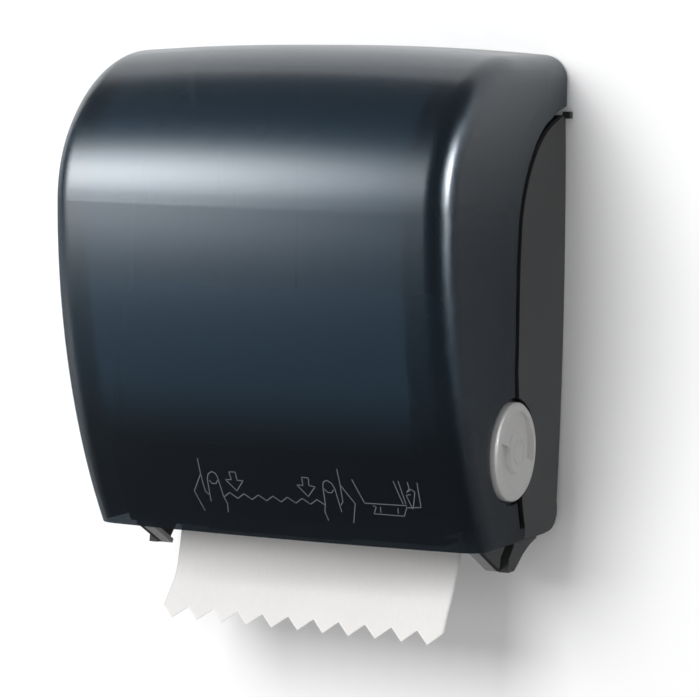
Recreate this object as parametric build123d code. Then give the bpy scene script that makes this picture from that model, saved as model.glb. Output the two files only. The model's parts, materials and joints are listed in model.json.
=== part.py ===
"""Wall-hung paper towel dispenser that cuts each towel as it is pulled.

Millimetres. X runs to the right, -Y out from the wall and +Z up. The origin is the centre of the
wall screw pattern, on the wall. Inside this file a point is given by its depth out from the wall
and its height above the cover's lower edge, which is how the side profile is easiest to read.
"""
import os
from math import asin, cos, degrees, radians, sin, sqrt

from build123d import *

# Frame: height of the wall screw pattern's centre above the cover's lower edge
MOUNT_HEIGHT = 165.0

# Cover: three tangent arcs from the lower edge, over the shoulder, to the flat top
FRONT_RADIUS, SHOULDER_RADIUS, TOP_RADIUS = 412.0, 87.0, 118.0
FRONT_DEPTH, FRONT_HEIGHT = 179.5, 212.0
SHOULDER_TURN = 38.0
CROWN_RADIUS = 1700.0
HALF_WIDTH_REAR, HALF_WIDTH_FRONT = 141.6, 137.5
CORNER_RADIUS = 16.4
COVER_WALL = 2.6
LOW_CORNER = 7.0
SEAM_GAP = 5.4

# Seam between cover and rear housing, as depth and height, from the wall downwards
SEAM = [(0.0, 271.6), (13.3, 267.8), (36.3, 256.9), (48.0, 245.9), (56.1, 234.9),
        (61.7, 223.9), (65.9, 212.8), (69.3, 190.6), (70.5, 157.0), (71.0, 110.0)]
COVER_LOW_EDGE = [(67.0, 27.2), (65.9, 23.3), (64.5, 19.3), (63.5, 15.4), (62.3, 11.5), (61.8, 9.2)]
HOUSING_LOW_EDGE = [(59.0, 26.4), (58.1, 22.4), (57.1, 18.4), (56.1, 14.5), (54.7, 10.5)]
LOBE_RADIUS, LOBE_GAP = 12.8, 0.6
LOBE_ANGLES = (174.6, 185.0, 195.0, 207.0, 218.7)

# Axes, as depth and height
HINGE = (68.0, 8.0)
DRUM = (74.8, 59.7)
PINCH = (121.8, 73.6)
PINCH_PIVOT = (126.0, 110.0)
STUB_ROLL = (114.0, 124.0)
FULL_ROLL = (90.0, 222.0)
LOCK = (36.0, 284.0)
ARM_HINGE = (106.6, 10.0)

# Paper
PAPER_HALF = 101.5
PAPER_SHIFT = -1.5
ROLL_RADIUS, CORE_RADIUS = 34.0, 20.0
SHEET = 0.4
EXIT_ANGLE = 198.0
TAIL_RADIUS, TAIL_LENGTH = 180.0, 74.0
TEETH, TOOTH_DEPTH = 11, 9.0

# Mechanism
DRUM_RADIUS, SHELL_RADIUS = 32.0, 31.2
PINCH_RADIUS = 16.0
SHAFT_RADIUS = 6.0
FRAME_IN, FRAME_OUT = 108.5, 111.5
KNOB_RADIUS, KNOB_GAP, SCOOP_TURN = 31.0, 2.8, 17.0
KNIFE_ANGLE = -60.0
PAWL_PIVOT = (38.0, 62.0)
PAWL_LIFT = 8.0
SCREW_X, SCREW_Z = 160.0, 180.0


def at(depth, height, x=0.0):
    """A point of the row frame from its depth and height."""
    return Vector(x, -depth, height - MOUNT_HEIGHT)


def polar(centre, radius, angle):
    """A point around an axis, as depth and height."""
    return (centre[0] + radius * cos(radians(angle)), centre[1] + radius * sin(radians(angle)))


def turned(point, centre, angle):
    """A point turned about an axis, the way that angles count here."""
    u, v = point[0] - centre[0], point[1] - centre[1]
    c, s = cos(radians(angle)), sin(radians(angle))
    return (centre[0] + u * c - v * s, centre[1] + u * s + v * c)


def prism(points, x0, x1):
    """A side outline run across the width."""
    face = make_face(Polyline([at(d, h, x0) for d, h in points], close=True))
    return extrude(face, amount=x1 - x0, dir=(1, 0, 0))


def slab(x0, x1, d0, d1, h0, h1):
    """A box between two widths, depths and heights."""
    middle = Pos((x0 + x1) / 2, -(d0 + d1) / 2, (h0 + h1) / 2 - MOUNT_HEIGHT)
    return middle * Box(x1 - x0, d1 - d0, h1 - h0)


def rod(centre, radius, x0, x1):
    """A round bar across the width."""
    middle = Pos((x0 + x1) / 2, -centre[0], centre[1] - MOUNT_HEIGHT)
    return middle * Rot(0, 90, 0) * Cylinder(radius, x1 - x0)


def ring(centre, outer, inner, x0, x1):
    """A tube across the width."""
    return rod(centre, outer, x0, x1) - rod(centre, inner, x0 - 1, x1 + 1)


def both(make):
    """The left and right copies of something made with a side of -1 or 1."""
    return [make(-1), make(1)]


def span(side, a, b):
    """Two widths on one side, in rising order."""
    return tuple(sorted((side * a, side * b)))


def cover_arcs(inset):
    """The three profile arcs, each as start, middle and end, and the angle of the first start."""
    low = -degrees(asin((FRONT_HEIGHT + 20.0) / (FRONT_RADIUS - inset)))
    first = (FRONT_DEPTH - FRONT_RADIUS, FRONT_HEIGHT)
    second = (FRONT_DEPTH - SHOULDER_RADIUS, FRONT_HEIGHT)
    third = polar(second, SHOULDER_RADIUS - TOP_RADIUS, SHOULDER_TURN)
    rows = [(first, FRONT_RADIUS, low, 0.0), (second, SHOULDER_RADIUS, 0.0, SHOULDER_TURN),
            (third, TOP_RADIUS, SHOULDER_TURN, 90.0)]
    arcs = [[polar(c, r - inset, a) for a in (a0, (a0 + a1) / 2, a1)] for c, r, a0, a1 in rows]
    return arcs, low


def front_depth(height, inset=0.0):
    """Depth of the cover's front at a height below the shoulder, smaller by an inset."""
    radius = FRONT_RADIUS - inset
    return FRONT_DEPTH - FRONT_RADIUS + sqrt(radius ** 2 - (FRONT_HEIGHT - height) ** 2)


def cover_block(inset):
    """The dispenser's outer form as a solid, smaller by an inset."""
    arcs, low = cover_arcs(inset)
    path = [ThreePointArc(*[at(*p) for p in arc]) for arc in arcs]
    top = arcs[-1][2]
    path.append(Line(at(*top), at(-6, top[1])))
    slope = Vector(0, sin(radians(low)), cos(radians(low)))
    start = Plane(origin=at(*arcs[0][0]), x_dir=(1, 0, 0), z_dir=slope)
    sag = 150.0 ** 2 / 2 / CROWN_RADIUS
    edge = Polyline((150, sag), (150, 40), (-150, 40), (-150, sag))
    section = make_face(start * (edge + ThreePointArc((-150, sag), (0, 0), (150, sag))))
    band = sweep(section, path=Wire(path))
    inner, _ = cover_arcs(inset + 30)
    sides = [ThreePointArc(*[at(*p, -150) for p in arc]) for arc in inner]
    a, b = inner[-1][2], inner[0][0]
    sides += Polyline(at(*a, -150), at(-6, a[1], -150), at(-6, b[1], -150), at(*b, -150)).edges()
    core = extrude(make_face(Wire(sides)), amount=300, dir=(1, 0, 0))
    rear, front = HALF_WIDTH_REAR - inset, HALF_WIDTH_FRONT - inset
    plan = make_face(Polyline((-rear, 6), (rear, 6), (front, -190), (-front, -190), close=True))
    body = (band + core) & (Pos(0, 0, -30 - MOUNT_HEIGHT) * extrude(plan, amount=400))
    long_edges = []
    for e in body.edges():
        ends = (e @ 0, e @ 1)
        wide = abs(e.center().X) > 100 and all(abs(p.X) > 126 for p in ends)
        rear_end = all(abs(p.Y - 6) < 0.1 for p in ends)
        if wide and not rear_end and (e.center().Z > 20 or e.length > 200):
            long_edges.append(e)
    return fillet(long_edges, CORNER_RADIUS - inset)


def front_outline(inset):
    """A block whose lower corners are rounded as seen from the front."""
    w = HALF_WIDTH_REAR + 2 - inset
    low = Pos(0, 0, -MOUNT_HEIGHT + 200) * Box(2 * w, 500, 400)
    edges = [e for e in low.edges().filter_by(Axis.Y) if e.center().Z < -MOUNT_HEIGHT + 1]
    return fillet(edges, LOW_CORNER + 2)


def seam_line(offset):
    """The seam moved towards the front by an offset."""
    out = []
    for i, (d, h) in enumerate(SEAM):
        a, b = SEAM[max(i - 1, 0)], SEAM[min(i + 1, len(SEAM) - 1)]
        u, v = b[0] - a[0], b[1] - a[1]
        n = sqrt(u * u + v * v)
        out.append((d - v / n * offset, h + u / n * offset))
    out[0] = (-8.0, out[0][1] + 1.5)
    return out


def seam_face(offset, lower, x):
    """The side zone behind the seam, closed by a lower run of points."""
    pts = seam_line(offset)
    curve = Spline([at(*p, x) for p in pts])
    rest = Polyline([at(*p, x) for p in [pts[-1]] + lower + [(-8.0, lower[-1][1]), pts[0]]])
    return make_face(Wire([curve] + list(rest.edges())))


def make_cover(outer):
    """Translucent front cover: an open shell with side notches for the feed knob."""
    shell = outer - cover_block(COVER_WALL)
    shell &= front_outline(0.0)
    shell &= slab(-160, 160, 1.2, 200, 0, 330)
    lobe = [polar(HINGE, LOBE_RADIUS, a) for a in LOBE_ANGLES]
    lower = COVER_LOW_EDGE + lobe + [(lobe[-1][0], -30)]
    shell -= extrude(seam_face(SEAM_GAP / 2, lower, -160), amount=320, dir=(1, 0, 0))
    shell -= rod(DRUM, KNOB_RADIUS + KNOB_GAP, 60, 160)
    for side in (-1, 1):
        boss = rod(HINGE, 6.0, *span(side, 130.5, 138.1))
        shell = shell + boss - rod(HINGE, 2.55, *span(side, 130.0, 137.5))
    shell -= rod(LOCK, 7.05, -145, -120)
    low, high = front_depth(2.0) - 3.9, front_depth(14.0) - 3.8
    rib = prism([(low, 2.0), (high, 14.0), (high - 1.4, 14.0), (low - 1.4, 2.0)], -112, 112)
    return shell + (rib & outer)


def rear_ease():
    """The space behind the side walls, which leave the wall towards the top and the lower corner."""
    back = ThreePointArc(at(4.7, 300, -160), at(0, 170, -160), at(6.2, 20, -160))
    corner = ThreePointArc(at(6.2, 20, -160), at(9.5, 6.2, -160), at(15.3, 3.2, -160))
    rest = [(15.3, 3.2), (24, 1.6), (58, 0.5), (58, -30), (-9, -30), (-9, 300), (4.7, 300)]
    edges = Polyline([at(*p, -160) for p in rest]).edges()
    return extrude(make_face(Wire([back, corner] + list(edges))), amount=320, dir=(1, 0, 0))


def make_rear_housing(outer):
    """Rear housing: back plate, side walls up to the seam, inner lips, lower wall and ribs."""
    lobe = [polar(HINGE, LOBE_RADIUS + LOBE_GAP, a) for a in LOBE_ANGLES]
    lower = HOUSING_LOW_EDGE + lobe[1:]
    zone = extrude(seam_face(-SEAM_GAP / 2, lower, -160), amount=320, dir=(1, 0, 0))
    zone &= slab(-160, 160, 0, 90, 0, 330)
    walls = outer & front_outline(0.0) & zone
    walls -= slab(-137.9, 137.9, 2.9, 100, -10, 320)
    walls -= rear_ease()
    plate = slab(-138.3, 138.3, 0, 3, 4, 268) + slab(-128, 128, 0, 3, 260, 297)
    body = walls + plate
    hub = rod(DRUM, KNOB_RADIUS + KNOB_GAP + 0.2, 60, 160) & slab(60, 160, 20, 120, 20, 100)
    body -= hub
    lip_line = seam_line(8.0)
    lip_line[0] = (2.5, 277.0)
    lip_pts = [(2.5, 6.0)] + lip_line + [(76, 60), (64, 33), (44, 20), (40, 6)]
    for side in (-1, 1):
        lip = prism(lip_pts, *span(side, 131.7, 133.7))
        if side > 0:
            lip += rod(DRUM, KNOB_RADIUS + 5, 131.7, 133.7)
            lip -= rod(DRUM, 12.5, 125, 140)
        lip -= rod(HINGE, 17.0, *span(side, 130.0, 135.0))
        foot = slab(*span(side, 133.0, 138.5), 2.5, 10, 10, 262)
        ear = slab(*span(side, 126.6, 129.9), 38, 76, 4.3, 16) - rod(HINGE, 2.5, *span(side, 120, 140))
        post = slab(*span(side, 126.6, 133.7), 36, 44, 6, 18)
        wall = slab(*span(side, 129.9, 133.7), 2.5, 44, 6, 12)
        tab = slab(*span(side, 140.0, 145.1), 0, 4.5, 266.0, 270.4)
        body = body + lip + foot + ear + post + wall + tab
    body += slab(-138.2, 138.2, 2.5, 18.0, 3.4, 6.2)
    for x in (-50, 50):
        body += slab(x - 1.2, x + 1.2, 2.5, 8, 20, 285)
    for h in (185, 285):
        body += slab(-126, 126, 2.5, 6, h, h + 2.4)
    body -= prism([(-1, -1), (-1, 14), (0, 14), (1.0, 9), (3.0, 5.5), (8, 3), (8, -1)], -160, 160)
    for x in (-SCREW_X / 2, SCREW_X / 2):
        for h in (MOUNT_HEIGHT - SCREW_Z / 2, MOUNT_HEIGHT + SCREW_Z / 2):
            pad = Pos(x, -3.5, h - MOUNT_HEIGHT) * Rot(90, 0, 0) * Cylinder(9, 3)
            hole = Pos(x, -3.0, h - MOUNT_HEIGHT) * Rot(90, 0, 0) * Cylinder(3.0, 12)
            body = body + pad - hole
    return body


def make_exit_chute():
    """Short curved ramp under the drum, with the hollow lugs at its ends."""
    rear = [(18.1, 4), (22, 0), (30, -3), (38, -5.5)]
    front = [(39.5, -3.6), (31, -0.9), (23.6, 1.8), (19.6, 5)]
    body = prism(rear + front, -127, 127)
    end_wall = [(84, 4), (84, -4.1), (55, -20), (46.5, -20), (38, -12), (30, -4), (28, 4)]
    strip = [(10, 3.2), (13, -3.2), (24, -6.2), (34.6, -11.2), (41.9, -16.2), (48, -20), (57, -20),
             (56, -11), (49.5, -5), (46, 4), (18.2, 4), (18.2, 3.2)]
    for side in (-1, 1):
        body += prism(end_wall, *span(side, 121.5, 124.5))
        body += prism(strip, *span(side, 124, 130.5))
        body += slab(*span(side, 112, 126.3), 18.1, 45, 3.4, 5.9)
    return body


def make_chute_rails():
    """Sloping front bars of the two lugs, bent up under the side frames."""
    bar = [(55, -20), (84, -4.1), (88, 1), (88, 8.9), (85, 8.9), (85, 2), (82.6, -1.5), (53.6, -17.4)]
    return both(lambda s: prism(bar, *span(s, 114.0, 121.5)))


def make_side_frame(side):
    """Upright plate that carries the drum, the pinch arms and the stub roll."""
    pts = [(3.2, 12), (3.2, 158), (40, 164), (104, 146), (108, 140), (120, 140), (130, 134),
           (134, 118), (136.5, 78), (136.5, 57), (130.7, 57), (130.7, 52.5), (134.6, 52),
           (126.3, 38), (109.8, 9), (88, 9), (78, 12)]
    x0, x1 = span(side, FRAME_IN, FRAME_OUT)
    body = prism(pts, x0, x1)
    body -= rod(DRUM, 9.0, x0 - 1, x1 + 1)
    body -= rod(PINCH, 7.4, x0 - 1, x1 + 1)
    body -= rod(STUB_ROLL, 4.08, x0 - 1, x1 + 1)
    body -= slab(x0 - 1, x1 + 1, STUB_ROLL[0] - 4.08, STUB_ROLL[0] + 4.08, STUB_ROLL[1], 160)
    foot = slab(*span(side, FRAME_IN - 14, FRAME_OUT), 3.2, 6.2, 30, 150)
    stud = rod(PINCH_PIVOT, 3.0, *span(side, FRAME_OUT - 1, 116.5))
    toe = slab(*span(side, FRAME_IN, 120.0), 78, 88, 9, 14)
    peg = rod((98.0, 92.0), 1.6, *span(side, FRAME_OUT - 1, 122.5))
    return body + foot + stud + toe + peg


def make_mechanism_panel():
    """Curved black panel over the front of the mechanism."""
    heights = [3.0 + 51.0 * k / 6 for k in range(7)]
    pts = [(front_depth(h, COVER_WALL + 5.0), h) for h in heights]
    pts += [(front_depth(h, COVER_WALL + 7.4), h) for h in reversed(heights)]
    body = prism(pts, -112, 112)
    top = pts[6]
    body += prism([(top[0], 54), (top[0] - 1.5, 56), (top[0] - 9, 56), (top[0] - 9, 54)], -112, 112)
    low = pts[0]
    body += slab(-112, 112, 92, low[0] - 1, 3.0, 5.2)
    return body


def make_web():
    """Paper from the stub roll, round the pinch roller, over the drum and down to the exit."""
    gap = 0.3
    ra, rb, rc = ROLL_RADIUS + gap, PINCH_RADIUS + gap, DRUM_RADIUS + gap
    dx, dz = PINCH[0] - STUB_ROLL[0], PINCH[1] - STUB_ROLL[1]
    dist = sqrt(dx * dx + dz * dz)
    k = (ra - rb) / dist
    ex, ez = dx / dist, dz / dist
    s = sqrt(1 - k * k)
    nx, nz = k * ex - s * ez, k * ez + s * ex
    lead = degrees(asin(nz))
    reach = sqrt((PINCH[0] - DRUM[0]) ** 2 + (PINCH[1] - DRUM[1]) ** 2)
    nip = degrees(asin((PINCH[1] - DRUM[1]) / reach))
    inner, outer = [], []
    for i in range(5):
        a = lead + 26 - 26 * i / 4
        inner.append(polar(STUB_ROLL, ra, a))
        outer.append(polar(STUB_ROLL, ra + SHEET, a))
    n = 14
    for i in range(n + 1):
        a = lead - (lead + 180 - nip) * i / n
        inner.append(polar(PINCH, rb, a))
        outer.append(polar(PINCH, rb + SHEET, a))
    n = 20
    for i in range(1, n + 1):
        a = nip + (EXIT_ANGLE - nip) * i / n
        outer.append(polar(DRUM, rc, a))
        inner.append(polar(DRUM, rc + SHEET, a))
    return inner, outer


def exit_line():
    """Where the paper leaves the drum and the direction it goes."""
    p = polar(DRUM, DRUM_RADIUS + 0.3, EXIT_ANGLE)
    t = (-sin(radians(EXIT_ANGLE)), cos(radians(EXIT_ANGLE)))
    return p, t


def make_paper_web():
    """The web as one thin sheet inside the cover."""
    inner, outer = make_web()
    p, t = exit_line()
    run = (p[1] - 2.0) / -t[1]
    n = (-t[1], t[0])
    end = (p[0] + t[0] * run, 2.0)
    outer.append(end)
    inner.append((end[0] - n[0] * SHEET, end[1] - n[1] * SHEET))
    x0, x1 = PAPER_SHIFT - PAPER_HALF, PAPER_SHIFT + PAPER_HALF
    return prism(inner + outer[::-1], x0, x1)


def make_tail():
    """The towel's free end: it curls out from the wall and ends in the blade's zigzag."""
    p, t = exit_line()
    run = (p[1] - 2.0) / -t[1]
    start = (p[0] + t[0] * run, 2.0)
    straight = 12.0
    bend = degrees((TAIL_LENGTH - straight) / TAIL_RADIUS)
    mid = (start[0] + t[0] * straight, start[1] + t[1] * straight)
    n = (-t[1], t[0])
    centre = (mid[0] + n[0] * TAIL_RADIUS, mid[1] + n[1] * TAIL_RADIUS)
    first = degrees(asin((mid[1] - centre[1]) / TAIL_RADIUS))
    back, face = [start, mid], [(start[0] - n[0] * SHEET, start[1] - n[1] * SHEET),
                               (mid[0] - n[0] * SHEET, mid[1] - n[1] * SHEET)]
    for i in range(1, 9):
        a = radians(180 - first + bend * i / 8)
        back.append(polar(centre, TAIL_RADIUS, degrees(a)))
        face.append(polar(centre, TAIL_RADIUS + SHEET, degrees(a)))
    x0, x1 = PAPER_SHIFT - PAPER_HALF, PAPER_SHIFT + PAPER_HALF
    sheet = prism(face + back[::-1], x0, x1)
    end = back[-1]
    aim = (cos(radians(180 - first + bend + 90)), sin(radians(180 - first + bend + 90)))
    pitch = 2 * PAPER_HALF / TEETH
    cut = []
    for i in range(TEETH):
        a, b = x0 + pitch * i, x0 + pitch * (i + 1)
        cut += [(a, -TOOTH_DEPTH), ((a + b) / 2, 0.0)]
    cut.append((x1, -TOOTH_DEPTH))
    cut += [(x1 + 2, -TOOTH_DEPTH), (x1 + 2, 4), (x0 - 2, 4), (x0 - 2, -TOOTH_DEPTH)]
    plane = Plane(origin=at(*end), x_dir=(1, 0, 0), z_dir=Vector(0, -aim[1], -aim[0]).normalized())
    if plane.y_dir.Z > 0:
        plane = Plane(origin=at(*end), x_dir=(1, 0, 0), z_dir=Vector(0, aim[1], aim[0]).normalized())
    tool = extrude(plane * make_face(Polyline(cut, close=True)), amount=20, both=True)
    return sheet - tool


def knife_point(u, t):
    """A point of the knife's own plane, from its radial and sideways distances."""
    a = radians(KNIFE_ANGLE)
    return (DRUM[0] + u * cos(a) - t * sin(a), DRUM[1] + u * sin(a) + t * cos(a))


def make_drum():
    """Drum shell, end discs and rubber grips, all open along the knife slot."""
    slot = prism([knife_point(u, t) for u, t in ((20, -7.5), (40, -7.5), (40, 3.0), (20, 3.0))], -96, 96)
    shell = ring(DRUM, SHELL_RADIUS, 28.4, -98.5, 98.5) - slot
    ends = []
    pivot = knife_point(19, -17.5)
    for side in (-1, 1):
        x0, x1 = span(side, 98.5, 100.6)
        ends.append(rod(DRUM, SHELL_RADIUS, x0, x1) - rod(DRUM, SHAFT_RADIUS, x0 - 1, x1 + 1)
                    - rod(pivot, 2.06, x0 - 1, x1 + 1))
    grips = []
    for x in (-90, -54, -18, 18, 54, 90):
        grips.append(ring(DRUM, DRUM_RADIUS, SHELL_RADIUS, x - 7, x + 7) - slot)
    return shell, ends, grips


def make_knife():
    """Pivoting knife: carrier with its follower, and the toothed blade."""
    pivot = knife_point(19, -17.5)
    bar = [knife_point(17.6, -19), knife_point(21.2, -18.4), knife_point(20.4, -4), knife_point(20.4, -0.6),
           knife_point(15.0, -0.6), knife_point(15.0, -3.4), knife_point(17.4, -4)]
    carrier = prism(bar, -95, 95) + rod(pivot, 2.0, -104.0, 102.0)
    pin = knife_point(12.5, -19.5)
    lever = [knife_point(u, t) for u, t in
             ((21, -19.5), (21, -15.5), (12, -17.2), (10.5, -19.5), (12, -21.6))]
    carrier += prism(lever, -103.8, -101.2) + rod(pin, 2.0, -107.6, -101.2)
    x0, x1 = -94.0, 94.0
    pitch = (x1 - x0) / TEETH
    edge = []
    for i in range(TEETH):
        edge += [(x0 + pitch * i, 24.5), (x0 + pitch * (i + 0.5), 30.6)]
    edge += [(x1, 24.5), (x1, 15.2), (x0, 15.2)]
    a = radians(KNIFE_ANGLE)
    plane = Plane(origin=at(*knife_point(0, -0.6)), x_dir=(1, 0, 0), z_dir=Vector(0, sin(a), cos(a)))
    if (plane.y_dir - Vector(0, -cos(a), sin(a))).length > 0.01:
        plane = Plane(origin=at(*knife_point(0, -0.6)), x_dir=(1, 0, 0), z_dir=Vector(0, -sin(a), -cos(a)))
    blade = extrude(plane * make_face(Polyline(edge, close=True)), amount=1.0)
    if (blade & carrier).volume > 1.0:
        blade = extrude(plane * make_face(Polyline(edge, close=True)), amount=-1.0)
    return carrier, blade


def make_knob():
    """Feed knob: a shallow dome with two finger scoops that deepen to a step."""
    side = Plane(origin=at(*DRUM), x_dir=(1, 0, 0), z_dir=(0, -1, 0))
    rim = (142.7, KNOB_RADIUS - 1.3)
    line = Polyline((144.2, 0), (136.9, 0), (136.9, KNOB_RADIUS), (141.4, KNOB_RADIUS), rim)
    dome = ThreePointArc(rim, (143.9, 19.0), (144.2, 8.0))
    flat = Line((144.2, 8.0), (144.2, 0))
    body = revolve(side * make_face(line + dome + flat), Axis(at(*DRUM), (1, 0, 0)))
    for turn in (0, 180):
        face = Plane(origin=at(*DRUM, 142.8), x_dir=(0, 1, 0), z_dir=(1, 0, 0))
        face = face * Rot(0, 0, turn - SCOOP_TURN)
        half = make_face(Polyline((-40, 0.7), (-40, -40), (40, -40), (40, 0.7), close=True))
        region = (Circle(25.5) - Circle(13.0)) & half
        tilt = Rot(0, -5.4, 0) * (Pos(0, 0, 20) * Box(120, 120, 40))
        tool = extrude(region, amount=30, both=True) & (Pos(0, 0, -1.6) * tilt)
        body -= face * tool
    body -= ring(DRUM, 8.2, 7.4, 143.7, 145.4)
    hub = rod(DRUM, 10.5, 119.5, 139.0)
    return body + hub - rod(DRUM, SHAFT_RADIUS, 110, 132.8)


def make_ratchet():
    """Ratchet wheel and its pawl, inside the right frame. The pawl is drawn lifted to a tooth's crest."""
    pts = []
    for k in range(20):
        a = 100.5 + 18 * k
        pts += [polar(DRUM, 20.5, a), polar(DRUM, 24.0, a + 0.05), polar(DRUM, 22.2, a + 9)]
    wheel = prism(pts, 101.4, 105.2) - rod(DRUM, SHAFT_RADIUS, 100, 107)
    hang = polar(DRUM, *PAWL_PIVOT)
    low = [polar(DRUM, r, a) for r, a in ((34, 60), (30, 74), (25.8, 90), (24.4, 93.4), (21.8, 95.6),
                                          (21.8, 96.8), (25.4, 97.2), (30, 95), (35.6, 80), (41, 66))]
    pawl = prism([turned(p, hang, -PAWL_LIFT) for p in low], 101.6, 105.0) + rod(hang, 4.2, 101.6, 105.0)
    pawl += rod(hang, 2.45, 104.0, 108.2)
    return wheel, pawl


def upright(side, radius, h0, h1):
    """A round bar along the upright hinge of a full-roll arm."""
    x, d = ARM_HINGE
    return Pos(side * x, -d, (h0 + h1) / 2 - MOUNT_HEIGHT) * Cylinder(radius, h1 - h0)


def make_roll_arm(side):
    """Arm of the full roll: knuckle, blade and fixed spindle."""
    pts = [(11, 210), (11, 234), (60, 232), (84, 238), (98, 236), (106, 222), (98, 208),
           (84, 206), (60, 212)]
    body = prism(pts, *span(side, 105.2, 108.0)) + upright(side, 3.2, 206, 238)
    spindle = rod(FULL_ROLL, 5.0, *span(side, 93.2, 105.6))
    return body + spindle - upright(side, 1.55, 200, 244)


def make_arm_bracket(side):
    """Bracket on the back plate that holds an arm's hinge pin."""
    body = slab(*span(side, 96.0, 109.8), 3.0, 6.2, 199, 245)
    for h in (199.0, 238.6):
        ear = slab(*span(side, 103.4, 109.8), 3.0, 13.4, h, h + 6.4)
        body += ear
    return body - upright(side, 1.5, 195, 250)


def make_roll_hub(side):
    """Turning hub that a full roll's core slips on."""
    flange = rod(FULL_ROLL, 24.0, *span(side, 101.8, 104.4))
    plug = rod(FULL_ROLL, 18.0, *span(side, 95.0, 102.0))
    cap = rod(FULL_ROLL, 15.0, *span(side, 92.4, 95.1))
    return flange + plug + cap - rod(FULL_ROLL, 5.06, *span(side, 93.0, 110.0))


def coil(start, end, x, radius, wire, turns):
    """A coil spring between two points of one upright plane."""
    a, b = at(*start, x), at(*end, x)
    axis = (b - a)
    length = axis.length
    frame = Plane(origin=a, x_dir=(1, 0, 0), z_dir=axis.normalized())
    lead = Helix(pitch=length / turns, height=length, radius=radius)
    first = Plane(origin=lead @ 0, z_dir=lead % 0)
    body = sweep(first * Circle(wire), path=lead)
    return frame * body


def make_parts():
    """Every sub-part by its node name."""
    outer = cover_block(0.0)
    p = {}
    p["front_cover"] = make_cover(outer)
    p["rear_housing"] = make_rear_housing(outer)
    p["exit_chute"] = make_exit_chute()
    p["chute_rails"] = make_chute_rails()
    p["side_frame_left"] = make_side_frame(-1) + spring_post(-1)
    p["side_frame_right"] = make_side_frame(1) - rod(polar(DRUM, *PAWL_PIVOT), 2.5, 107, 113)
    p["mechanism_panel"] = make_mechanism_panel()
    p["hinge_pins"] = both(lambda s: rod(HINGE, 2.5, *span(s, 126.2, 137.1)))
    p["drum_bushings"] = both(make_bushing)
    p["cam_ring"] = make_cam_ring()
    p["frame_screws"] = make_frame_screws()
    hook = slab(-131.6, -127.0, 41.0, 46.0, 255, 273)
    p["latch_keeper"] = hook + slab(-131.6, -127.0, 3.0, 46.0, 255, 259)
    p["paper_web"] = make_paper_web()
    p["towel_tail"] = make_tail()
    p["lock_barrel"] = make_lock_barrel()
    p["lock_cam"] = slab(-130.0, -127.8, LOCK[0] - 20, LOCK[0] + 6, LOCK[1] - 4.2, LOCK[1] + 4.2)
    shell, ends, grips = make_drum()
    p["drum_shell"] = shell
    p["drum_ends"] = ends
    p["drum_grips"] = grips
    p["drum_shaft"] = rod(DRUM, SHAFT_RADIUS, -119.0, 132.8)
    p["feed_knob"] = make_knob()
    wheel, pawl = make_ratchet()
    p["ratchet_wheel"] = wheel
    p["ratchet_pawl"] = pawl
    crank = polar(DRUM, 10.5, 200)
    disc = rod(DRUM, 15.0, -119.0, -115.8) - rod(DRUM, SHAFT_RADIUS, -125, -110)
    p["crank_disc"] = disc + rod(crank, 1.8, -125.0, -118.5)
    carrier, blade = make_knife()
    p["knife_carrier"] = carrier
    p["cutting_knife"] = blade
    p["pinch_arm_left"] = make_pinch_arm(-1)
    p["pinch_arm_right"] = make_pinch_arm(1)
    p["pinch_axle"] = rod(PINCH, 4.0, -117.5, 117.5)
    p["pinch_roller"] = ring(PINCH, PINCH_RADIUS, 4.06, -102.0, 102.0)
    p["pinch_wheels"] = both(lambda s: ring(PINCH, 16.0, 4.06, *span(s, 102.0, 106.6)))
    ends = (PAPER_SHIFT - PAPER_HALF, PAPER_SHIFT + PAPER_HALF)
    p["roll_paper"] = ring(STUB_ROLL, ROLL_RADIUS, CORE_RADIUS, *ends)
    p["roll_core"] = ring(STUB_ROLL, CORE_RADIUS, 18.4, *ends)
    p["stub_hubs"] = both(make_stub_hub)
    p["roll_arm_left"] = make_roll_arm(-1)
    p["roll_arm_right"] = make_roll_arm(1)
    p["arm_brackets"] = both(make_arm_bracket)
    p["arm_pins"] = both(lambda s: upright(s, 1.5, 199, 245))
    p["roll_hub_left"] = make_roll_hub(-1)
    p["roll_hub_right"] = make_roll_hub(1)
    p["toggle_spring"] = coil((59.0, 56.2), (22.0, 56.2), -122.0, 4.0, 0.7, 11)
    p["pinch_springs"] = both(lambda s: coil((122.6, 92.0), (100.4, 92.0), s * 119.5, 2.6, 0.5, 8))
    return p


def make_lock_barrel():
    """Barrel of the lock with its flange and key slot."""
    barrel = rod(LOCK, 7.0, -141.4, -130.0) + rod(LOCK, 9.0, -142.5, -141.0)
    return barrel - slab(-144, -141.7, LOCK[0] - 0.6, LOCK[0] + 0.6, LOCK[1] - 4, LOCK[1] + 4)


def make_bushing(side):
    """Flanged bush between the drum shaft and a side frame."""
    body = rod(DRUM, 9.0, *span(side, FRAME_IN, FRAME_OUT)) + rod(DRUM, 11.5, *span(side, FRAME_OUT, 113.4))
    return body - rod(DRUM, SHAFT_RADIUS + 0.05, *span(side, 100, 120))


def make_cam_ring():
    """Fixed cam on the left frame that works the knife's follower."""
    body = rod(DRUM, 30.5, -108.5, -105.0) - rod(DRUM, 26.2, -110, -104)
    bump = [polar(DRUM, 30, 205), polar(DRUM, 25.7, 214), polar(DRUM, 25.7, 226), polar(DRUM, 30, 236)]
    return body + prism(bump, -108.5, -105.0)


def spring_post(side):
    """Posts on the outside of a frame for the springs."""
    return rod((17.0, 56.2), 3.0, *span(side, FRAME_OUT - 1, 125.5))


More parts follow.
